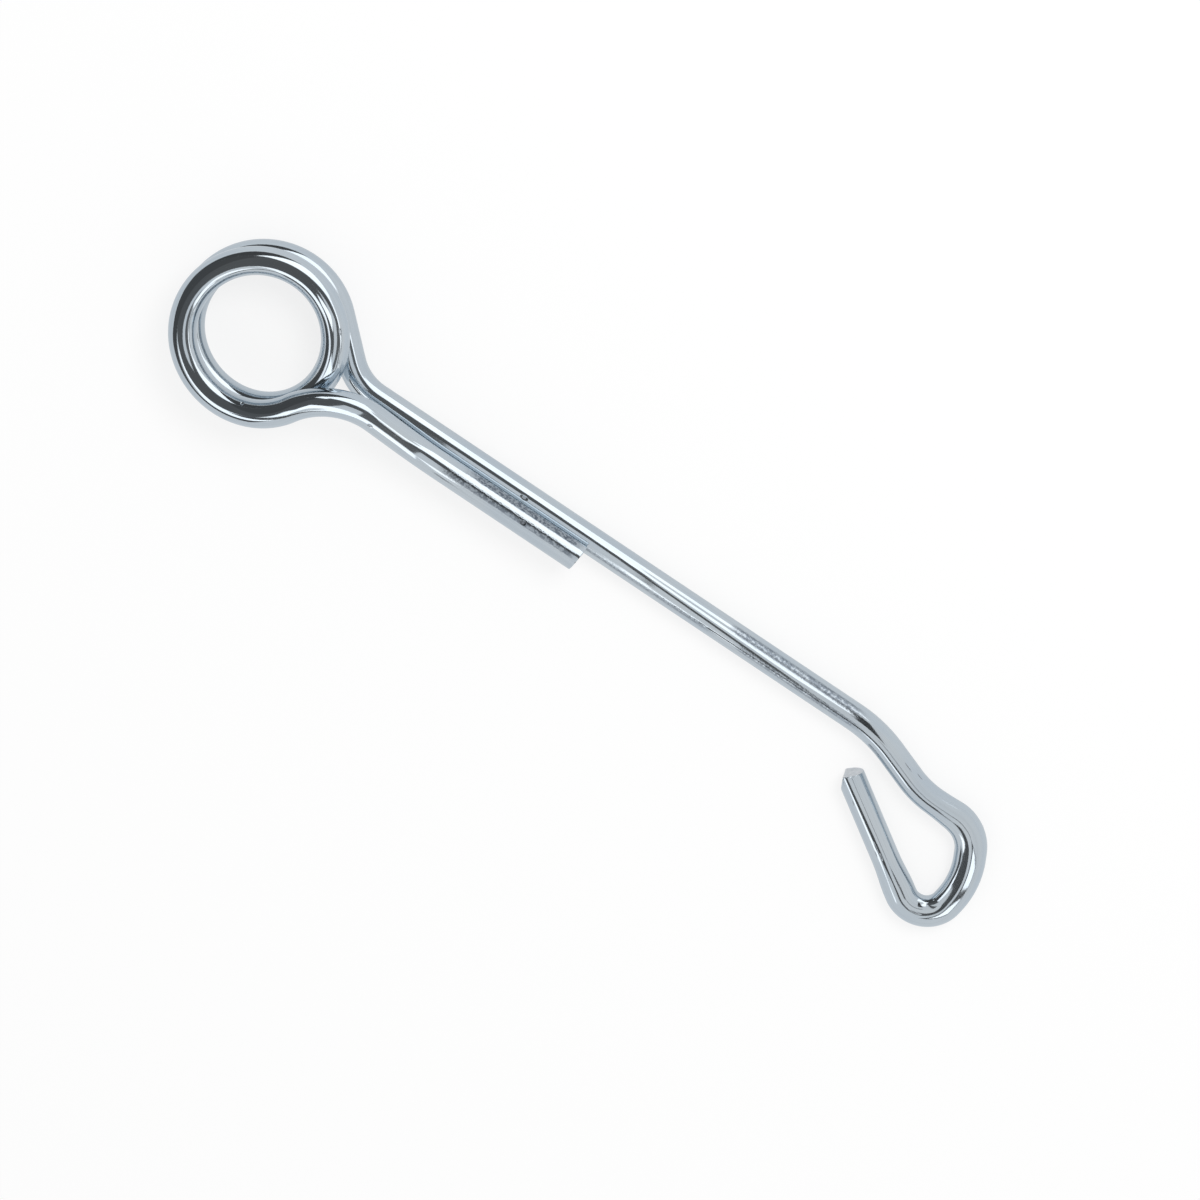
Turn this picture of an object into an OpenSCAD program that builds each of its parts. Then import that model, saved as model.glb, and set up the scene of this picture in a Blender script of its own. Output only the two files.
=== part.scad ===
// Wire hook: one length of round wire, wound into an eye at one end and bent into a closed hook at the other.
// The hook lies on its side. +X runs along the shank from the eye to the hook, +Z is up, and the table is Z = 0.
// The axis of the eye stands at X = 0, Y = 0.

/* [Wire] */
// Diameter of the wire
wire_d = 4; // [3:0.1:5]
// How much fuller than the straight stretches the bends come out
bend_swell = 0.04; // [0.02:0.01:0.1]
// How far each straight stretch runs on inside the bend at its end
lap = 0.2; // [0.1:0.05:0.3]

/* [Eye] */
// Clear diameter inside the eye
eye_d = 17.1; // [14:0.1:24]
// Gap between one turn of the eye and the next
coil_gap = 0.3; // [0.15:0.05:1]
// Angle above the shank's direction at which the wire leaves the eye for the shank
eye_leave = 45; // [40:1:50]
// Bend from the eye into the shank, at the middle of the wire
eye_bend_r = 8.2; // [6:0.1:10]
// Sideways step from the axis of the eye to the shank
shank_step = 0.2; // [-1:0.1:1]

/* [Tail] */
// Angle below the shank's direction at which the tail leaves the eye
tail_leave = 31; // [25:1:36]
// Bend from the eye into the tail, at the middle of the wire
tail_bend_r = 10; // [8:0.5:13]
// How far beyond the eye's mean radius the tail comes down to the shank
tail_drop_run = 16.5; // [14:0.5:24]
// Bend where the sloping tail levels out along the shank
tail_kink_r = 20; // [10:1:40]
// Gap between the tail and the shank
tail_gap = 0.15; // [0.1:0.05:0.6]
// How far up the flank of the shank the tail lies
tail_climb = 63; // [50:1:75]
// Length of tail that lies along the shank
tail_len = 27; // [15:0.5:45]
// Slant of the tail's cut end
tail_cut = 6; // [0:1:15]

/* [Shank] */
// Length from the axis of the eye to the first bend of the hook
shank_len = 101.7; // [90:0.5:140]

/* [Hook] */
// Length of the sloping neck, along the shank
neck_run = 10; // [9:0.5:14]
// Sideways drop of the neck
neck_drop = 3.8; // [2:0.1:5]
// Bend from the shank into the neck
neck_r = 20; // [10:1:24]
// Length of the shoulder, along the shank
shoulder_run = 9.3; // [9:0.1:13]
// Sideways drop of the shoulder
shoulder_drop = 0.3; // [0:0.1:1]
// Bend from the neck into the shoulder
shoulder_r = 14; // [8:1:16]
// Length of the bow's upper side, along the shank
bow_run = 3.6; // [3:0.1:5]
// Sideways drop of the bow's upper side
bow_drop = 7.2; // [7:0.1:10]
// Bend from the shoulder into the bow
bow_r = 5.6; // [4:0.2:6]
// Sideways drop of the bow's far side
toe_drop = 10.5; // [10:0.1:14]
// How far the bow's far side leans back towards the eye
toe_back = 1.2; // [0:0.1:2]
// Bend in the middle of the bow
bow_mid_r = 12.6; // [8:0.2:13]
// Bend from the bow into the leg
toe_r = 3.8; // [3:0.1:4.2]
// Clear height of the mouth between the shank and the end of the leg
mouth = 3.3; // [1:0.1:5]
// How far past the first bend the leg ends
leg_end_run = 0.4; // [-3:0.1:4]
// Slant of the cut at the end of the leg
leg_cut = 13; // [0:1:20]
// Width of the bevel on the outer side of the leg's end
leg_bevel_w = 1.3; // [0.5:0.1:1.8]
// Length of that bevel along the leg
leg_bevel_len = 2; // [0.5:0.1:3]

/* [Pressed bow] */
// How much wider than the wire the bow of the hook is pressed
bow_spread = 0.6; // [0.2:0.1:1]
// How much thinner than the wire the bow of the hook is pressed
bow_press = 0.3; // [0.1:0.1:0.8]
// Where the pressed part begins, beyond the first bend
press_run = 13; // [12.5:0.1:14]
// Length over which the wire spreads to its pressed width
press_ramp = 3.2; // [2:0.1:3.5]
// How far outside the round wire the press starts
press_clear = 0.03; // [0.02:0.01:0.1]

/* [Hidden] */
$fn = 64;

wire_r = wire_d / 2;
bow_w = wire_d + bow_spread;
bow_t = wire_d - bow_press;
coil_r = (eye_d + wire_d) / 2;
pitch = wire_d + coil_gap;

// Each half turn of the eye is an arc on a tilted plane that climbs by half a pitch
half_turn = 180;
half_climb = pitch / 2;
coil_tilt = atan2(half_climb, 2 * coil_r);
tilted_r = coil_r / cos(coil_tilt);
coil_lap = 360 * lap / (2 * PI * coil_r);

// The eye starts where the wire leaves it for the shank, and ends where the tail leaves it
coil_turn = 2 * 360 - tail_leave - eye_leave;
coil_from = [coil_r * cos(eye_leave), coil_r * sin(eye_leave), wire_r];
coil_in = [sin(eye_leave), -cos(eye_leave), 0];
full_halves = floor(coil_turn / half_turn);
coil_rest = coil_turn - full_halves * half_turn;

function unit(v) = v / norm(v);
function turned(v, angle) = [v.x * cos(angle) - v.y * sin(angle), v.x * sin(angle) + v.y * cos(angle), v.z];
function tipped(v) = [v.x * cos(coil_tilt), v.y, -v.x * sin(coil_tilt)];
function half_start(i) = eye_leave + i * half_turn;
function half_centre(i) = [0, 0, wire_r + (i + 1 / 2) * half_climb];

// End of the eye: its place and its direction
coil_to = half_centre(full_halves)
    + tilted_r * turned(tipped([cos(coil_rest), sin(coil_rest), 0]), half_start(full_halves));
coil_out = turned(tipped([-sin(coil_rest), cos(coil_rest), 0]), half_start(full_halves));

// Corner of a bend of radius r that leaves p in direction d and then points at the target
function aimed_corner(p, d, target, r) =
    let (
        away = target - p,
        u = away * d,
        side = away - u * d,
        v = norm(side),
        turn = atan2(u, r - v) - acos(r / norm([u, r - v]))
    )
    p + d * r * tan(turn / 2);

// Tail: down from the eye to the flank of the shank, then along it
tail_off = wire_d + tail_gap;
tail_y = shank_step - tail_off * cos(tail_climb);
tail_z = wire_r + tail_off * sin(tail_climb);
tail_kink = [coil_r + tail_drop_run, tail_y, tail_z];
tail_end = tail_kink + [tail_len, 0, 0];
tail_points = [coil_to, aimed_corner(coil_to, coil_out, tail_kink, tail_bend_r), tail_kink, tail_end];
tail_bends = [0, tail_bend_r, tail_kink_r, 0];
tail_widths = [wire_d, wire_d, wire_d, wire_d];

// Shank and hook: corner by corner from the eye to the end of the leg
eye_corner = coil_from + coil_in * (coil_from.y - shank_step) / cos(eye_leave);
neck_at = [shank_len, shank_step, wire_r];
shoulder_at = neck_at + [neck_run, -neck_drop, 0];
bow_at = shoulder_at + [shoulder_run, -shoulder_drop, 0];
bow_mid_at = bow_at + [bow_run, -bow_drop, 0];
toe_at = bow_mid_at + [-toe_back, -toe_drop, 0];
leg_end = neck_at + [leg_end_run, -wire_d - mouth, 0];
leg_ahead = unit(leg_end - toe_at);
leg_lift = tan(leg_cut);
leg_stop = leg_end + leg_ahead * wire_r * leg_lift;
press_from = shank_len + press_run;
press_to = press_from + press_ramp;

function at_x(a, b, x) = a + (b - a) * (x - a.x) / (b.x - a.x);

hook_points = [
    coil_from, eye_corner, neck_at, shoulder_at,
    at_x(shoulder_at, bow_at, press_from), at_x(shoulder_at, bow_at, press_to),
    bow_at, bow_mid_at, toe_at,
    at_x(toe_at, leg_end, press_to), at_x(toe_at, leg_end, press_from),
    leg_stop
];
hook_bends = [0, eye_bend_r, neck_r, shoulder_r, 0, 0, bow_r, bow_mid_r, toe_r, 0, 0, 0];
hook_widths = [
    wire_d, wire_d, wire_d, wire_d, wire_d, bow_w, bow_w, bow_w, bow_w, bow_w, wire_d, wire_d
];

// Directions, turns and set-backs along a row of corners
function heading(pts, i) = unit(pts[i + 1] - pts[i]);
function turn_at(pts, i) = acos(min(1, heading(pts, i - 1) * heading(pts, i)));
function set_back(pts, bends, i) = bends[i] == 0 ? 0 : bends[i] * tan(turn_at(pts, i) / 2);
function next_bend(bends, i) = i == len(bends) - 1 || bends[i] > 0 ? i : next_bend(bends, i + 1);
function frame_of(x, y, at) =
    let (z = cross(x, y))
    [[x.x, y.x, z.x, at.x], [x.y, y.y, z.y, at.y], [x.z, y.z, z.z, at.z], [0, 0, 0, 1]];

// Straight stretch of wire from the bend at corner i to the bend or the end at corner j.
// It is turned as one profile that takes in the widths in between.
module straight(pts, bends, widths, i, j) {
    ahead = heading(pts, i);
    side = unit(cross([0, 0, 1], ahead));
    from = pts[i] + ahead * set_back(pts, bends, i);
    run = norm(pts[j] - from) - set_back(pts, bends, j);
    stop = bends[j] > 0 ? run + lap : run;
    between = [for (k = [i + 1 : 1 : j - 1]) [widths[k] / 2, norm(pts[k] - from)]];
    profile = concat(
        [[0, -lap], [widths[i] / 2, -lap]],
        between,
        [[widths[j] / 2, stop], [0, stop]]);
    multmatrix(frame_of(side, cross(ahead, side), from))
        rotate_extrude()
            polygon(profile);
}

// Round bend at corner i, a little fuller than the straight stretches that run into it
module bend(pts, bends, widths, i) {
    before = heading(pts, i - 1);
    after = heading(pts, i);
    inward = unit(after - before * (before * after));
    from = pts[i] - before * set_back(pts, bends, i);
    multmatrix(frame_of(-inward, before, from + inward * bends[i]))
        rotate_extrude(angle = turn_at(pts, i))
            translate([bends[i], 0])
                circle(d = widths[i] + bend_swell);
}

// Wire that starts with the bend at corner 1 and runs on through a row of corners
module wire_run(pts, bends, widths) {
    for (i = [1 : len(pts) - 2])
        if (bends[i] > 0) {
            bend(pts, bends, widths, i);
            straight(pts, bends, widths, i, next_bend(bends, i + 1));
        }
}

// The wound part of the eye: half turns on tilted planes, and the rest of a half turn at the end.
// Every second one is as full as a bend, and the ones between run on inside it.
module coil() {
    for (i = [0 : full_halves]) {
        full = i % 2 == 0;
        before = full ? 0 : coil_lap;
        after = full && i < full_halves ? 0 : coil_lap;
        arc = i < full_halves ? half_turn : coil_rest;
        translate(half_centre(i))
            rotate([0, coil_tilt, half_start(i)])
                rotate([0, 0, -before])
                    rotate_extrude(angle = before + arc + after)
                        translate([tilted_r, 0])
                            circle(d = full ? wire_d + bend_swell : wire_d);
    }
}

// Tail with its cut end
module tail() {
    difference() {
        wire_run(tail_points, tail_bends, tail_widths);
        translate(tail_end - [wire_r * sin(tail_cut), 0, 0])
            rotate([0, 0, -tail_cut])
                translate([0, -wire_d, -wire_d])
                    cube([wire_d, 2 * wire_d, 2 * wire_d]);
    }
}

// Space above the pressed bow, or below it, that the press takes away
module platen(side) {
    reach = bow_mid_at.x + bow_w;
    depth = shank_step - toe_at.y + 2 * bow_w;
    outline = [
        [press_from, wire_r + press_clear], [press_to, bow_t / 2], [reach, bow_t / 2],
        [reach, bow_w], [press_from, bow_w]
    ];
    translate([0, shank_step + bow_w, wire_r])
        rotate([90, 0, 0])
            linear_extrude(height = depth)
                polygon([for (p = outline) [p.x, side * p.y]]);
}

// What the slanted cut and the bevel take from the end of the leg
module leg_trim() {
    edge = wire_r - leg_bevel_w;
    fall = leg_bevel_len / leg_bevel_w;
    half_w = wire_r + leg_bevel_w / 2;
    outline = [
        [-half_w, -half_w * leg_lift], [edge, edge * leg_lift],
        [half_w, edge * leg_lift - (half_w - edge) * fall],
        [half_w, wire_r], [-half_w, wire_r]
    ];
    multmatrix(frame_of(cross([0, 0, 1], leg_ahead), leg_ahead, leg_end))
        translate([0, 0, -wire_d])
            linear_extrude(height = 2 * wire_d)
                polygon(outline);
}

// Shank and hook, with the bow pressed and the end of the leg trimmed
module shank_and_hook() {
    difference() {
        union() {
            straight(hook_points, hook_bends, hook_widths, 0, 1);
            wire_run(hook_points, hook_bends, hook_widths);
        }
        platen(1);
        platen(-1);
        leg_trim();
    }
}

// The whole wire
module wire_hook() {
    color("silver") {
        coil();
        tail();
        shank_and_hook();
    }
}

wire_hook();
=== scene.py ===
# %% [markdown]
# # A wire hook clasp
# The object is one length of bright zinc-plated steel wire. One end is wound almost twice round into an
# eye, and its tail lies along the shank. The other end is bent back on itself into a small hook.
# Blender counts in metres, so sizes are written in millimetres times MM.

# %% Load the frame
import math
from collections import namedtuple

import bmesh
import bpy
from mathutils import Matrix, Vector


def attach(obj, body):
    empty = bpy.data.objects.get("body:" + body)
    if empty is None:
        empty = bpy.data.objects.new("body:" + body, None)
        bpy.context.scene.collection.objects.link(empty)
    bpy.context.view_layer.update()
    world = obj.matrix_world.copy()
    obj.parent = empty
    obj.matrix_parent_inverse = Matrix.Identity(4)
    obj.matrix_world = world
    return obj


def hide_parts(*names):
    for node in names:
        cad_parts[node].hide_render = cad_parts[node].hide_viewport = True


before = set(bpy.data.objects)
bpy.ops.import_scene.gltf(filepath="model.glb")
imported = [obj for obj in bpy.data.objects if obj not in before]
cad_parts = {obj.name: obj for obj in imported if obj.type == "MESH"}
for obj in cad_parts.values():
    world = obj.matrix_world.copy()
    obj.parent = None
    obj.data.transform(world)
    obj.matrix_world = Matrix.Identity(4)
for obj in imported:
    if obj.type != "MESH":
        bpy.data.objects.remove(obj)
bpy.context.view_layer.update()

MM = 0.001


def in_mm(*lengths):
    """Lengths in metres as rounded millimetres, for the notes that the cells print."""
    return [round(length / MM, 2) for length in lengths]


# %% [markdown]
# ## The bending plan
# A wire is shaped on a bench by feeding it straight and bending it round pins, so the plan is a list of
# stretches. A straight one has a start, a direction and a length. A bend also has a pin in its middle,
# an axis and an angle. The plan could be drawn as a curve with a bevel, but a curve has no say in how
# its rings of points turn. So the plan is kept as numbers, from the same sizes as the solid.

# %% The wire, and what a stretch of it holds
WIRE_R = 2 * MM
Stretch = namedtuple("Stretch", "start ahead length pin axis angle")
print("wire of", *in_mm(2 * WIRE_R), "mm, planned by", Stretch._fields)

# %% [markdown]
# ## The eye
# The eye is wound round a pin, and it climbs by one wire and a hair per turn. A screw modifier could
# make an even helix, but the solid is wound from flat arcs, and this wire follows it.
# So each half turn lies on a plane that is tilted just enough to climb half a pitch.
# At the joins the wire runs level, so one half turn flows into the next.

# %% Half turns of the eye, from the tail's side down to the shank's side
UP = Vector((0, 0, 1))
COIL_R = 10.55 * MM
COIL_RISE = 4.3 * MM
EYE_LEAVE = math.radians(45)
TAIL_LEAVE = math.radians(31)
tilt = math.atan2(COIL_RISE / 2, 2 * COIL_R)
half_turn_r = COIL_R / math.cos(tilt)
coil_turn = 4 * math.pi - TAIL_LEAVE - EYE_LEAVE
halves = int(coil_turn // math.pi)
eye_plan = []
for i in range(halves, -1, -1):
    arc = coil_turn - halves * math.pi if i == halves else math.pi
    tilted = Matrix.Rotation(EYE_LEAVE + i * math.pi, 3, "Z") @ Matrix.Rotation(tilt, 3, "Y")
    middle = UP * (WIRE_R + (i + 0.5) * COIL_RISE / 2)
    begin = middle + tilted @ Vector((half_turn_r * math.cos(arc), half_turn_r * math.sin(arc), 0))
    onward = tilted @ Vector((math.sin(arc), -math.cos(arc), 0))
    eye_plan.append(Stretch(begin, onward, half_turn_r * arc, middle, tilted @ -UP, arc))
print("the eye has", round(math.degrees(coil_turn)), "degrees of wire in", len(eye_plan), "arcs")

# %% [markdown]
# ## The tail, the shank and the hook
# The tail comes down from the top turn of the eye to the flank of the shank and lies along it to its
# cut end. The shank runs straight to a shallow double bend, and the wire then turns back round the bow
# and the toe of the hook into a slanting leg. Each of these could be a piece of its own, joined to the
# next, but a bent wire has no joins. So all of them are rows of corners, and each corner becomes
# a straight stretch and a bend.

# %% From corners to stretches
SHORTEST = 0.001 * MM


def stretches_through(corners, radii):
    """Straight stretches and bends along a row of corners, with a radius for each inner corner."""
    found, place = [], corners[0]
    for i in range(1, len(corners)):
        ahead = (corners[i] - corners[i - 1]).normalized()
        stop, last = corners[i], i == len(corners) - 1
        if not last:
            then = (corners[i + 1] - corners[i]).normalized()
            angle = ahead.angle(then)
            stop = corners[i] - ahead * radii[i] * math.tan(angle / 2)
        length = (stop - place).dot(ahead)
        if length > SHORTEST:
            found.append(Stretch(place, ahead, length, None, None, 0))
        if not last:
            inward = (then - ahead * ahead.dot(then)).normalized()
            pin = stop + inward * radii[i]
            found.append(Stretch(stop, ahead, radii[i] * angle, pin, ahead.cross(inward), angle))
            place = corners[i] + then * radii[i] * math.tan(angle / 2)
    return found


square_corner = [Vector((0, 0, 0)), Vector((1, 0, 0)), Vector((1, 1, 0))]
print("a square corner gives", len(stretches_through(square_corner, [0, 0.2, 0])), "stretches")

# %% [markdown]
# The tail rests on the shank's flank, at an angle above the shank and a small gap away from it.
# The corner where it leaves the eye is found from the bend's radius, so that the bend is tangent to
# the eye.

# %% The tail
SHANK_Y = 0.2 * MM
TAIL_GAP = 0.15 * MM
TAIL_CLIMB = math.radians(63)
TAIL_DROP_RUN = 16.5 * MM
TAIL_LEN = 27 * MM
TAIL_BEND_R = 10 * MM
TAIL_KINK_R = 20 * MM
tail_start, tail_away = eye_plan[0].start, -eye_plan[0].ahead
tail_off = 2 * WIRE_R + TAIL_GAP
tail_y = SHANK_Y - tail_off * math.cos(TAIL_CLIMB)
tail_z = WIRE_R + tail_off * math.sin(TAIL_CLIMB)
tail_kink = Vector((COIL_R + TAIL_DROP_RUN, tail_y, tail_z))
tail_end = tail_kink + Vector((TAIL_LEN, 0, 0))
reach = (tail_kink - tail_start).dot(tail_away)
side = (tail_kink - tail_start - tail_away * reach).length
to_pin = math.hypot(reach, TAIL_BEND_R - side)
tail_bend = math.atan2(reach, TAIL_BEND_R - side) - math.acos(TAIL_BEND_R / to_pin)
tail_corner = tail_start + tail_away * TAIL_BEND_R * math.tan(tail_bend / 2)
tail_corners = [tail_end, tail_kink, tail_corner, tail_start]
tail_plan = stretches_through(tail_corners, [0, TAIL_KINK_R, TAIL_BEND_R, 0])
print("tail of", *in_mm(sum(s.length for s in tail_plan)), "mm")

# %% The shank and the hook, with steps and radii in millimetres
EYE_BEND_R = 8.2 * MM
SHANK_LEN = 101.7 * MM
HOOK_STEPS = ((10, -3.8), (9.3, -0.3), (3.6, -7.2), (-1.2, -10.5))
HOOK_RADII = (20, 14, 5.6, 12.6, 3.8)
LEG_RUN = 0.4 * MM
MOUTH = 3.3 * MM
LEG_SPARE = 1 * MM
shank_start = Vector((COIL_R * math.cos(EYE_LEAVE), COIL_R * math.sin(EYE_LEAVE), WIRE_R))
into_shank = Vector((math.sin(EYE_LEAVE), -math.cos(EYE_LEAVE), 0))
eye_corner = shank_start + into_shank * (shank_start.y - SHANK_Y) / math.cos(EYE_LEAVE)
shank_end = Vector((SHANK_LEN, SHANK_Y, WIRE_R))
hook_corners = [shank_start, eye_corner, shank_end]
for run, drop in HOOK_STEPS:
    hook_corners.append(hook_corners[-1] + Vector((run * MM, drop * MM, 0)))
leg_end = shank_end + Vector((LEG_RUN, -2 * WIRE_R - MOUTH, 0))
leg_ahead = (leg_end - hook_corners[-1]).normalized()
hook_corners.append(leg_end + leg_ahead * LEG_SPARE)
hook_radii = [0, EYE_BEND_R, *(radius * MM for radius in HOOK_RADII), 0]
hook_plan = stretches_through(hook_corners, hook_radii)
plan = tail_plan + eye_plan + hook_plan
print("wire of", *in_mm(sum(s.length for s in plan)), "mm in", len(plan), "stretches")

# %% [markdown]
# ## Bending the wire
# The wire starts as one round disc at the tail's cut end. Each step extrudes the open ring and moves it
# on: along the wire in a straight stretch, round the pin in a bend. That is what the bench does, and it
# keeps the rings square to the wire. A bevelled curve would be quicker to make, but here every point
# also remembers where it was on the straight wire before bending. That place, in millimetres, is an
# attribute named drawn, and the finish reads it later.

# %% A disc at the tail's cut end
ROUND = 64
Ring = namedtuple("Ring", "verts centre ahead along")
wire = bmesh.new()
drawn = wire.verts.layers.float_vector.new("drawn")
square_to = plan[0].ahead.to_track_quat("Z", "Y").to_matrix().to_4x4()
first = bmesh.ops.create_circle(
    wire, cap_ends=True, segments=ROUND, radius=WIRE_R,
    matrix=Matrix.Translation(plan[0].start) @ square_to)["verts"]
for v in first:
    flat = square_to.inverted() @ (v.co - plan[0].start)
    v[drawn] = Vector((0, flat.x, flat.y)) / MM
rings = [Ring(first, plan[0].start, plan[0].ahead, 0)]
open_edges = wire.edges[:]
print("disc with", len(open_edges), "sides")

# %% Feed and bend
FEED = 1.2 * MM
BEND_DEGREES = 3
FEWEST_IN_BEND = 3


def step_on(edges, move, far):
    """Extrudes the open ring by one step to a new length along the wire and returns its new edges."""
    made = bmesh.ops.extrude_edge_only(wire, edges=edges)["geom"]
    verts = [g for g in made if isinstance(g, bmesh.types.BMVert)]
    fresh = set(verts)
    bmesh.ops.transform(wire, matrix=move, verts=verts)
    for v in verts:
        v[drawn] = Vector((far / MM, v[drawn].y, v[drawn].z))
    was = rings[-1]
    rings.append(Ring(verts, move @ was.centre, (move.to_3x3() @ was.ahead).normalized(), far))
    return [g for g in made if isinstance(g, bmesh.types.BMEdge) and fresh.issuperset(g.verts)]


along = 0
for s in plan:
    if s.pin is None:
        steps = max(1, round(s.length / FEED))
        one_step = Matrix.Translation(s.ahead * s.length / steps)
    else:
        steps = max(FEWEST_IN_BEND, round(math.degrees(s.angle) / BEND_DEGREES))
        bent = Matrix.Rotation(s.angle / steps, 4, s.axis)
        one_step = Matrix.Translation(s.pin) @ bent @ Matrix.Translation(-s.pin)
    for i in range(steps):
        open_edges = step_on(open_edges, one_step, along + s.length * (i + 1) / steps)
    along += s.length
off_plan = (rings[-1].centre - hook_corners[-1]).length
print(len(rings), "rings, and the end is", round(off_plan / MM, 4), "mm off the plan")

# %% [markdown]
# ## The pressed bow
# The bow of the hook was squeezed in the bending tool, so it is a little wider and thinner than the
# wire. A second, flatter wire joined on would leave a step at each join. So each ring of the bow is
# scaled in its own frame, wider across the hook and thinner upwards, and the press comes on and goes
# off gently over a few millimetres.

# %% Widen and flatten the bow
BOW_FROM = 276.5 * MM
BOW_TO = 308.5 * MM
RUN_IN = 5 * MM
WIDER = 0.15
THINNER = 0.075


def ramp(x, low, high):
    """Smooth step from 0 at low to 1 at high."""
    t = min(1, max(0, (x - low) / (high - low)))
    return t * t * (3 - 2 * t)


pressed = 0
for ring in rings:
    comes_on = ramp(ring.along, BOW_FROM, BOW_FROM + RUN_IN)
    share = comes_on * ramp(-ring.along, -BOW_TO, -BOW_TO + RUN_IN)
    if share > 0:
        sideways = UP.cross(ring.ahead)
        own = Matrix((sideways, UP, ring.ahead)).to_4x4() @ Matrix.Translation(-ring.centre)
        size = (1 + WIDER * share, 1 - THINNER * share, 1)
        bmesh.ops.scale(wire, vec=size, space=own, verts=ring.verts)
        pressed += 1
print(pressed, "rings pressed")

# %% [markdown]
# ## The two cut ends
# The wire was cropped with shears: the tail nearly square, the leg at a slant with one corner nipped
# off. A Boolean with a box would do, but a plane that cuts the mesh is nearer to what shears do, and
# it leaves the rest of the wire untouched. The open cut is then filled with a face that gets the
# second finish. The rim gets a very small rounding, because a sheared edge is never a perfect corner.

# %% Shear the ends
TAIL_TRIM = 0.4 * MM
TAIL_CUT = math.radians(6)
LEG_CUT = math.radians(13)
NIP_SIDE = 0.7 * MM
NIP_LEAN = 0.65
NEAR_TAIL = 3 * MM
NEAR_LEG = 6 * MM
ON_PLANE = 1e-7
CUT_FINISH = 1


def shear(at, away, low, high):
    """Cuts the wire between two lengths with a plane, takes off what is beyond and closes the cut."""
    near = [v for v in wire.verts if low <= v[drawn].x * MM <= high]
    edges = dict.fromkeys(e for v in near for e in v.link_edges)
    faces = dict.fromkeys(f for v in near for f in v.link_faces)
    bmesh.ops.bisect_plane(
        wire, geom=[*near, *edges, *faces], dist=ON_PLANE, plane_co=at, plane_no=away,
        clear_outer=True)
    rim = [e for e in wire.edges if e.is_boundary]
    for f in bmesh.ops.holes_fill(wire, edges=rim, sides=0)["faces"]:
        f.material_index = CUT_FINISH


bmesh.ops.contextual_create(wire, geom=open_edges)
tail_out = Vector((math.cos(TAIL_CUT), -math.sin(TAIL_CUT), 0))
shear(tail_end - Vector((TAIL_TRIM, 0, 0)), tail_out, -math.inf, NEAR_TAIL)
leg_out = UP.cross(leg_ahead)
slant = (leg_ahead * math.cos(LEG_CUT) - leg_out * math.sin(LEG_CUT)).normalized()
shear(leg_end, slant, along - NEAR_LEG, math.inf)
nip_at = leg_end + (leg_out + leg_ahead * math.tan(LEG_CUT)) * NIP_SIDE
nip_away = (leg_out + leg_ahead * NIP_LEAN).normalized()
shear(nip_at, nip_away, along - NEAR_LEG, math.inf)
ends = [f for f in wire.faces if f.material_index == CUT_FINISH]
print(len(ends), "cut faces of", [round(f.calc_area() / MM ** 2, 2) for f in ends], "mm2")

# %% Break the rims
RIM_R = 0.12 * MM
rims = list(dict.fromkeys(e for f in ends for e in f.edges))
bmesh.ops.bevel(
    wire, geom=rims, offset=RIM_R, offset_type="OFFSET", segments=2, profile=0.5,
    affect="EDGES", material=-1)
bmesh.ops.recalc_face_normals(wire, faces=wire.faces)
for f in wire.faces:
    f.smooth = True
print(len(wire.faces), "faces,", len([e for e in wire.edges if not e.is_manifold]), "open edges")

# %% [markdown]
# ## The wire as an object
# The finished mesh becomes one object that stays where the solid is. The round of the wire is shaded
# smooth, and edges that turn by more than a set angle, at the cuts, stay crisp.

# %% Hand the mesh over
SHARP = math.radians(20)
mesh = bpy.data.meshes.new("zinc_wire_hook")
wire.to_mesh(mesh)
wire.free()
mesh.set_sharp_from_angle(angle=SHARP)
hook = bpy.data.objects.new("zinc_wire_hook", mesh)
bpy.context.scene.collection.objects.link(hook)
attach(hook, "root")
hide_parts("wire_hook")
print("hook has", len(mesh.polygons), "faces and", len(mesh.vertices), "points")

# %% [markdown]
# ## A small helper for shader maths
# Node trees are hard to read as lists of links. This class wraps a socket, so that sums and products of
# sockets are written as they are on paper, and every other node comes from one method.


# %% Sockets that can be added and multiplied
class Sock:
    """A shader socket that understands arithmetic."""

    def __init__(self, tree, out=None):
        self.tree, self.out = tree, out

    def node(self, kind, settings=None, out=0, **inputs):
        """Adds a node, makes its settings, fills sockets by name or number and returns one output."""
        made = self.tree.nodes.new(kind)
        for key, value in (settings or {}).items():
            setattr(made, key, value)
        for key, value in inputs.items():
            numbered = key[0] == "i" and key[1:].isdigit()
            name = int(key[1:]) if numbered else key.replace("_", " ")
            if isinstance(value, Sock):
                value.into(made, name)
            else:
                made.inputs[name].default_value = value
        return Sock(self.tree, made.outputs[out])

    def also(self, name):
        """Another output of the same node."""
        return Sock(self.tree, self.out.node.outputs[name])

    def into(self, made, name):
        """Links this socket to an input of a node."""
        self.tree.links.new(self.out, made.inputs[name])

    def math(self, operation, a, b=0.0):
        """One Math node on two values."""
        return self.node("ShaderNodeMath", {"operation": operation}, i0=a, i1=b)

    def __add__(self, other):
        return self.math("ADD", self, other)

    def __radd__(self, other):
        return self.math("ADD", other, self)

    def __sub__(self, other):
        return self.math("SUBTRACT", self, other)

    def __rsub__(self, other):
        return self.math("SUBTRACT", other, self)

    def __mul__(self, other):
        return self.math("MULTIPLY", self, other)

    def __rmul__(self, other):
        return self.math("MULTIPLY", other, self)

    def step(self, low, high):
        """Smooth step of this value between two limits."""
        return self.node(
            "ShaderNodeMapRange", {"interpolation_type": "SMOOTHSTEP"},
            Value=self, From_Min=low, From_Max=high, To_Min=0.0, To_Max=1.0)

    def blend(self, dark, light):
        """Colour between two others, by this value."""
        return self.node("ShaderNodeMix", {"data_type": "RGBA"}, out=2, i0=self, i6=dark, i7=light)


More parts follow.
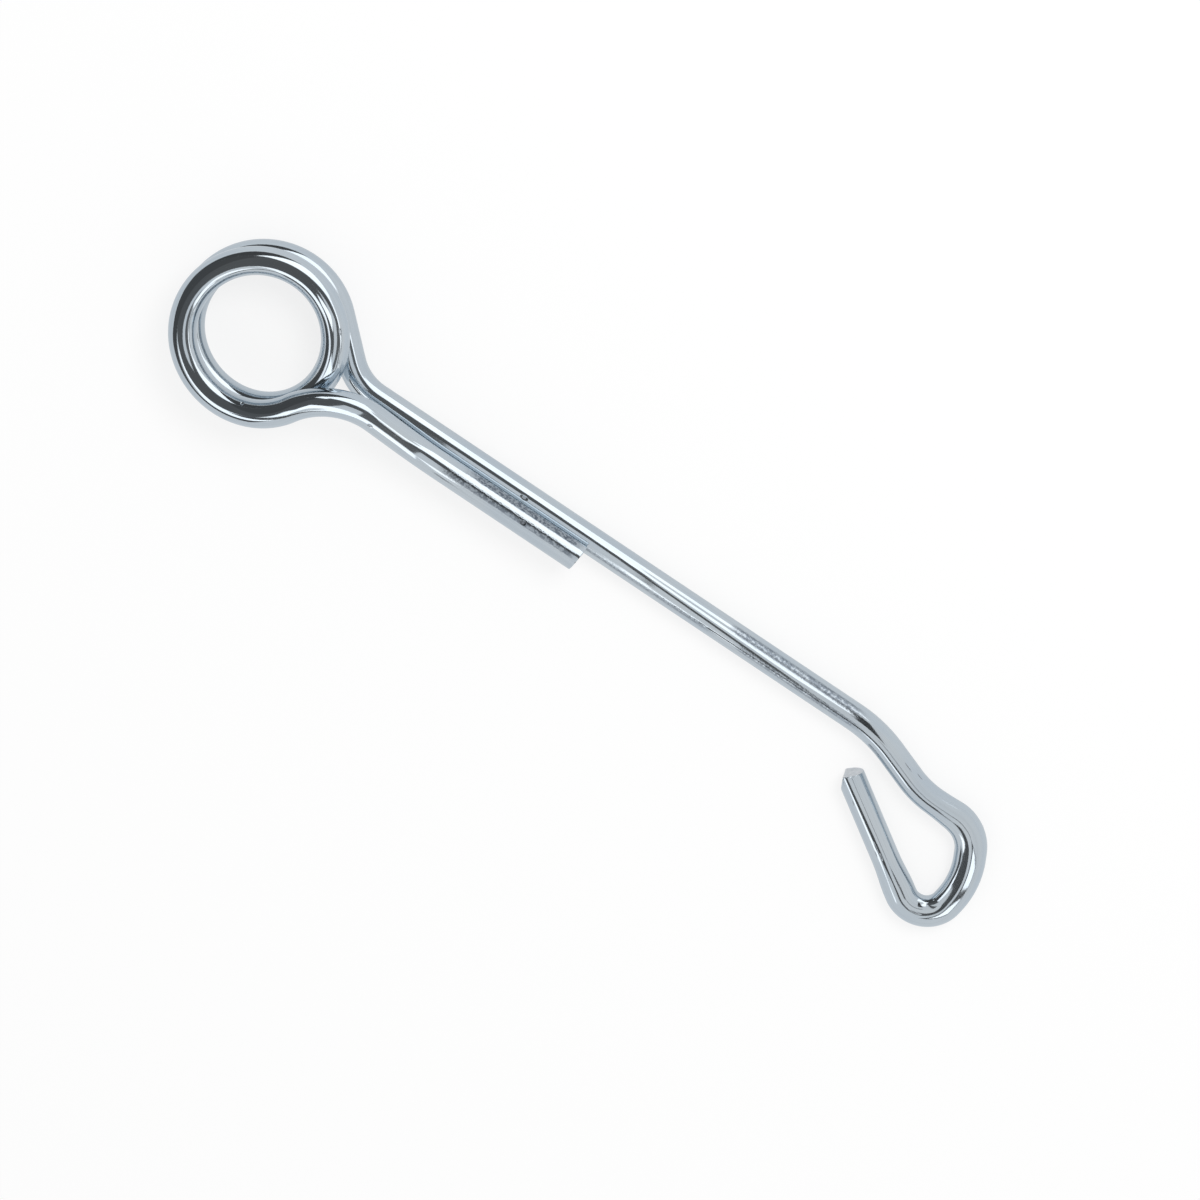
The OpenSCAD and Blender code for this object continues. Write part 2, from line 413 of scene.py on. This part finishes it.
def new_finish(name):
    """A material, its shader node and a first socket to work from."""
    finish = bpy.data.materials.new(name)
    finish.use_nodes = True
    return finish, finish.node_tree.nodes["Principled BSDF"], Sock(finish.node_tree)


# %% [markdown]
# ## Bright zinc plate
# Zinc plate on drawn wire is a mirror with a cold blue cast. Up close it has fine long lines from the
# drawing die, a faint waviness, and a few pits and scratches from handling. Grainy dark bands along the
# tail and the shank are painted reflection: dark surroundings, painted into the colour of a rougher
# plate.
# All of that follows the wire through its bends, so the patterns read the drawn attribute: length along
# the wire in x, and the round of the wire in y and z.
# A pattern on Object coordinates would cut across the coil instead.

# %% Patterns that follow the wire
zinc, zinc_shader, plate = new_finish("bright_zinc_plate")
on_wire = plate.node("ShaderNodeAttribute", {"attribute_name": "drawn"}, out=1)
far_along = plate.node("ShaderNodeSeparateXYZ", Vector=on_wire)
across, upward = far_along.also("Y"), far_along.also("Z")


def stretched(along_scale, round_scale, detail=3.0, rough=0.5):
    """Noise on the straight wire, with its own scale along it and round it, per millimetre."""
    scale = (along_scale, round_scale, round_scale)
    moved = plate.node("ShaderNodeMapping", {"vector_type": "POINT"}, Vector=on_wire, Scale=scale)
    return plate.node("ShaderNodeTexNoise", Vector=moved, Scale=1.0, Detail=detail, Roughness=rough)


lines = stretched(0.03, 7.0, rough=0.6)
waves = stretched(0.22, 0.3, detail=1.0)
cloud = stretched(0.10, 0.35)
grain = stretched(2.2, 2.8, detail=2.0, rough=0.6)
print("four patterns follow", round(along / MM), "mm of wire")

# %% [markdown]
# Grainy dark bands along the tail and along the shank before the hook are painted reflection: the dark
# surroundings that those parts of the wire mirror, painted into the colour. They could be painted as an
# image, but a band is simple: a range along the wire in millimetres times a range round it in degrees,
# with its edges frayed by the grain.

# %% Bands of painted dark reflection
FRAY = 14
SOFT_EDGE = 3
FADE_IN = 2
FADE_OUT = 4
round_wire = plate.math("ARCTAN2", -1 * across, upward) * (180 / math.pi)


def band(low, high, angle, half):
    """Mask of a band between two lengths in mm, at an angle and with a half width, both in degrees."""
    frayed = plate.math("ABSOLUTE", round_wire - angle) + FRAY * (grain - 0.5)
    between = far_along.step(low, low + FADE_IN) * (1 - far_along.step(high - FADE_OUT, high))
    return between * (1 - frayed.step(half - SOFT_EDGE, half + SOFT_EDGE))


# painted reflection: each row is a strength, then from and to in mm, angle and half width in degrees, of
# a dark band
TAIL_DARK_BANDS = ((1.0, (0.3, 21, 76, 24)), (0.8, (0.3, 24, 16, 13)))
SHANK_DARK_BANDS = ((0.6, (214, 238, 71, 8)), (0.6, (240, 263, 62, 13)), (0.8, (238, 262, 4, 17)))
painted_dark_bands = sum(depth * band(*where) for depth, where in TAIL_DARK_BANDS + SHANK_DARK_BANDS)
painted_dark_specks = painted_dark_bands * (0.5 + 0.5 * grain.step(0.42, 0.56))
print(len(TAIL_DARK_BANDS), "bands on the tail and", len(SHANK_DARK_BANDS), "on the shank")

# %% [markdown]
# A few pits in the plate and short scratches on the hook come from handling. Modelled dents would need
# a much finer mesh, so each mark is a stretched spot on the straight wire, given by its middle,
# its half length and its half width, all in millimetres.


# %% Pits and scratches
def mark(at, long, wide):
    """A spot on the straight wire, 1 in its middle and 0 outside its half length and half width."""
    shrink = (1 / long, 1 / wide, 1 / wide)
    off = plate.node("ShaderNodeVectorMath", {"operation": "SUBTRACT"}, i0=on_wire, i1=at)
    shrunk = plate.node("ShaderNodeVectorMath", {"operation": "MULTIPLY"}, i0=off, i1=shrink)
    distance = plate.node("ShaderNodeVectorMath", {"operation": "LENGTH"}, out=1, i0=shrunk)
    return 1 - distance.step(0.4, 1.0)


PITS = (
    ((101.2, 0.30, 1.97), 0.5, 0.2), ((35.4, 0.48, 1.94), 0.5, 0.3), ((9.5, -0.49, 1.94), 0.5, 0.4),
    ((54.4, -1.72, 1.02), 0.3, 0.3), ((204.6, -1.19, 1.61), 0.7, 0.35))
SCRATCHES = (
    ((311.1, -1.36, 1.46), 1.0, 0.12), ((309.5, -1.48, 1.34), 0.7, 0.12),
    ((310.2, -1.05, 1.70), 0.6, 0.1), ((269.9, -0.48, 1.94), 1.0, 0.1),
    ((272.1, 0.10, 1.99), 0.8, 0.1), ((318.3, -0.90, 1.78), 0.5, 0.1),
    ((299.7, -1.61, 1.18), 1.2, 0.1))
marks = sum(mark(*row) for row in PITS + SCRATCHES)
print(len(PITS), "pits and", len(SCRATCHES), "scratches")

# %% [markdown]
# The colour of a metal is the tint of its mirror, so the zinc gets two cold shades in soft clouds, and
# its lines and marks are darker tints. The grainy bands are painted reflection: a near-black tint that
# stands for dark surroundings. They are also rougher, which makes them dull.
# The relief is a bump, in millimetres, because none of it is deep enough to show in the outline.

# %% Colour, gloss and relief of the zinc
COLD = (0.615, 0.675, 0.72, 1)
COLDER = (0.575, 0.645, 0.705, 1)
LINE_TINT = (0.42, 0.45, 0.49, 1)
DARK_REFLECTION_TINT = (0.10, 0.125, 0.165, 1)
MARK_TINT = (0.22, 0.23, 0.25, 1)
LINE_SHARE, DARK_REFLECTION_SHARE, MARK_SHARE = 0.25, 0.9, 0.6
PLATE_ROUGH, LINE_ROUGH, DARK_BAND_ROUGH = 0.06, 0.05, 0.14
LINE_RISE, WAVE_RISE, GRAIN_RISE, MARK_DEPTH = 0.0006, 0.02, 0.03, 0.06
cold = cloud.step(0.35, 0.65).blend(COLDER, COLD)
streaked = (LINE_SHARE * lines.step(0.45, 0.75)).blend(cold, LINE_TINT)
# painted reflection: the grainy bands darken the colour to a near-black tint that stands for dark
# surroundings
with_painted_dark = (DARK_REFLECTION_SHARE * painted_dark_specks).blend(streaked, DARK_REFLECTION_TINT)
worn = (MARK_SHARE * marks).blend(with_painted_dark, MARK_TINT)
roughness = PLATE_ROUGH + LINE_ROUGH * lines + DARK_BAND_ROUGH * painted_dark_specks
raised = LINE_RISE * lines + WAVE_RISE * waves + GRAIN_RISE * (painted_dark_bands * grain)
relief = raised - MARK_DEPTH * marks
zinc_shader.inputs["Metallic"].default_value = 1.0
worn.into(zinc_shader, "Base Color")
roughness.into(zinc_shader, "Roughness")
bumped = plate.node("ShaderNodeBump", Strength=1.0, Distance=MM, Height=relief)
bumped.into(zinc_shader, "Normal")
mesh.materials.append(zinc)
print("zinc plate has", len(plate.tree.nodes), "nodes")

# %% [markdown]
# ## Sheared ends
# The cut faces are bare grey steel: duller than the plate and uneven where the metal tore.
# They are small, so a fine noise on Object coordinates is enough for the torn look.

# %% Finish of the cut ends
TEAR_SCALE = 1800.0
TORN, CLEAN = (0.66, 0.69, 0.72, 1), (0.80, 0.82, 0.84, 1)
CUT_ROUGH, TEAR_ROUGH = 0.34, 0.2
sheared, sheared_shader, cut = new_finish("sheared_steel")
on_object = cut.node("ShaderNodeTexCoord", out="Object")
tear = cut.node("ShaderNodeTexNoise", Vector=on_object, Scale=TEAR_SCALE, Detail=3.0)
sheared_shader.inputs["Metallic"].default_value = 1.0
tear.step(0.3, 0.7).blend(TORN, CLEAN).into(sheared_shader, "Base Color")
(CUT_ROUGH + TEAR_ROUGH * tear).into(sheared_shader, "Roughness")
mesh.materials.append(sheared)
print("finishes:", [m.name for m in mesh.materials])

# %% [markdown]
# ## The white sheet
# The hook lies on a plain white sheet. A white diffuse floor alone comes out a pale grey, so most of
# the sheet's white is its own light, for the rays that see it directly or in a mirror.
# The rest is lit paper, which keeps the soft shadow under the wire.


# %% White floor that keeps its shadow
def level_sheet(name, place):
    """A level sheet of one metre by one metre, sized and placed by a matrix."""
    sheet = bmesh.new()
    bmesh.ops.create_grid(sheet, x_segments=1, y_segments=1, size=0.5, matrix=place)
    shape = bpy.data.meshes.new(name)
    sheet.to_mesh(shape)
    sheet.free()
    thing = bpy.data.objects.new(name, shape)
    bpy.context.scene.collection.objects.link(thing)
    return thing


def bare_finish(name):
    """A material with nothing but its output, which is returned, and a first socket to work from."""
    finish, shader, nodes = new_finish(name)
    finish.node_tree.nodes.remove(shader)
    return finish, finish.node_tree.nodes["Material Output"], nodes


FLOOR_SIZE = 8
OWN_WHITE = 0.76
WHITE = (1, 1, 1, 1)
LIT_PAPER = (0.9, 0.9, 0.9, 1)
MIRRORED_PAPER = (0.72, 0.74, 0.76, 1)
floor = level_sheet("white_sheet", Matrix.Diagonal((FLOOR_SIZE, FLOOR_SIZE, 1, 1)))
paper, paper_output, paper_nodes = bare_finish("white_paper")
seen_by = paper_nodes.node("ShaderNodeLightPath", out="Is Camera Ray")
in_mirror = seen_by.also("Is Glossy Ray")
seen = paper_nodes.math("MAXIMUM", seen_by, in_mirror)
seen = paper_nodes.math("MAXIMUM", seen, seen_by.also("Is Transmission Ray"))
lit = paper_nodes.node("ShaderNodeBsdfDiffuse", Color=LIT_PAPER)
own_shade = in_mirror.blend(WHITE, MIRRORED_PAPER)
white = paper_nodes.node("ShaderNodeEmission", Color=own_shade, Strength=1.0)
mixed = paper_nodes.node("ShaderNodeMixShader", i0=OWN_WHITE * seen, i1=lit, i2=white)
mixed.into(paper_output, "Surface")
floor.data.materials.append(paper)
print("floor is", FLOOR_SIZE, "m wide")

# %% [markdown]
# ## The white tent
# A mirror shows what is round it, so the surroundings matter more than the lamps. The world is an even
# white tent. It is pure white to the camera and a little greyer in reflections, so that lamps stand out.

# %% White tent
TENT_LIGHT = (0.8, 0.8, 0.8, 1)
MIRRORED_TENT = (0.78, 0.79, 0.80, 1)
world = bpy.data.worlds.new("white_tent")
world.use_nodes = True
bpy.context.scene.world = world
tent_nodes = Sock(world.node_tree)
background = world.node_tree.nodes["Background"]
from_camera = tent_nodes.node("ShaderNodeLightPath", out="Is Camera Ray")
tent = from_camera.also("Is Glossy Ray").blend(TENT_LIGHT, MIRRORED_TENT)
from_camera.blend(tent, WHITE).into(background, "Color")
background.inputs["Strength"].default_value = 1.0
print("world is", world.name)

# %% [markdown]
# ## Cards
# The wire is pale where it shows the tent, black where it shows a dark room beyond the tent's opening,
# and white where it shows a lamp or a window. Real lamps and a real room would also change the floor.
# So cards that only reflections can see stand in for them, above the hook and one over another.


# %% Cards that only reflections see
def card(name, start, stop, width, height, shade):
    """A level strip from one point to another, with a width and a height above the floor, in mm."""
    run = Vector(stop) - Vector(start)
    centre = Vector((*((Vector(start) + Vector(stop)) / 2), height)) * MM
    turned = Matrix.Rotation(math.atan2(run.y, run.x), 4, "Z")
    sized = Matrix.Diagonal((run.length * MM, width * MM, 1, 1))
    thing = level_sheet(name, Matrix.Translation(centre) @ turned @ sized)
    glow, output, nodes = bare_finish(name)
    light = nodes.node("ShaderNodeEmission", Color=(shade, shade, shade, 1), Strength=1.0)
    light.into(output, "Surface")
    thing.data.materials.append(glow)
    thing.visible_camera = thing.visible_diffuse = thing.visible_shadow = False
    thing.visible_transmission = thing.visible_volume_scatter = False


LAMP = 1.6
PALE = 0.79
CARDS = (
    ("dark_room", (-4000, -20), (-50, -20), 260, 116, 0.08),
    ("dark_over_eye", (-55, 28), (28, 28), 164, 115, 0.115),
    ("dark_strip", (26, 72), (70, 72), 66, 114.5, 0.115),
    ("dark_over_tail", (68, 31.5), (135, 31.5), 147, 114, 0.15),
    ("dark_room_far", (-4000, 2054), (-85, 2054), 3892, 113.5, 0.07),
    ("window", (-85, 506), (150, 506), 788, 113, LAMP),
    ("lamp_near_eye", (-35, -90), (28, -90), 68, 112, LAMP),
    ("lamp_near_tail", (62, -95), (108, -95), 84, 111.5, LAMP),
    ("dark_near_eye", (-200, -174), (30, -174), 92, 111, 0.09),
    ("pale_by_hook", (67, 31.5), (400, 31.5), 147, 62, PALE),
    ("lamp_over_shank", (46, 70), (100, 20), 22, 60, LAMP),
    ("dark_over_shank", (50, 36), (98, -22), 10, 59.5, 0.115),
    ("dark_over_bend", (111, 8), (111, 60), 14, 59, 0.06),
    ("dark_over_neck", (112, -4), (140, -10), 3, 58.5, 0.17),
    ("dark_over_bow", (128, -33), (70, -57), 16, 58, 0.09),
    ("dark_frame", (139, -37), (184, -37), 50, 57.5, 0.115),
    ("lamp_over_bow", (144, -22.5), (180, -22.5), 17, 57, LAMP),
    ("lamp_over_toe", (144, -47), (178, -47), 18, 56.5, LAMP),
    ("lamp_by_eye_exit", (9, -9.3), (24, -10), 8, 30, LAMP),
    ("lamp_by_tail_start", (22, -11), (31, -17), 12, 29.5, LAMP),
    ("dark_by_eye_exit", (-1, -18.5), (27, -30), 5, 29, 0.1),
    ("lamp_in_eye", (4.6, 6.6), (9.4, 6.6), 4.2, 18, LAMP))
for row in CARDS:
    card(*row)
print(len(CARDS), "cards")

# %% [markdown]
# ## Lamp and camera
# One wide lamp above and behind the hook gives the soft shadow. A sun would give a hard one. The lamp is
# hidden from reflections, because the cards already stand for what the wire shows.
# The camera looks down on the hook through a long lens, so near and far wire look almost equally thick.

# %% A soft lamp for the shadow
LAMP_WIDE = 0.3
LAMP_WATTS = 2.0
LAMP_AT = Vector((0.12, 0.45, 0.55))
LAMP_AIM = Vector((0.06, 0, 0))
lamp = bpy.data.lights.new("soft_lamp", "AREA")
lamp.shape = "DISK"
lamp.size = LAMP_WIDE
lamp.energy = LAMP_WATTS
lamp_object = bpy.data.objects.new("soft_lamp", lamp)
lamp_object.location = LAMP_AT
lamp_object.rotation_euler = (LAMP_AIM - LAMP_AT).to_track_quat("-Z", "Y").to_euler()
lamp_object.visible_glossy = False
bpy.context.scene.collection.objects.link(lamp_object)
print("lamp is", round((LAMP_AIM - LAMP_AT).length, 2), "m from the hook")

# %% Camera at the photograph's angle, with its turns about x, y and z in degrees
LENS = 128.67
SENSOR = 36
CAMERA_AT = (39.024, 199.633, 565.16)
CAMERA_TURNS = (-17.92124, 9.44544, 32.59523)
NEAREST, FARTHEST = 0.05, 20
lens = bpy.data.cameras.new("camera")
lens.lens = LENS
lens.sensor_width = SENSOR
lens.clip_start, lens.clip_end = NEAREST, FARTHEST
camera = bpy.data.objects.new("camera", lens)
camera.location = Vector(CAMERA_AT) * MM
camera.rotation_euler = [math.radians(turn) for turn in CAMERA_TURNS]
bpy.context.scene.collection.objects.link(camera)
bpy.context.scene.camera = camera
bpy.context.scene.view_settings.view_transform = "Standard"
print("camera is", round(camera.location.length, 2), "m from the eye")
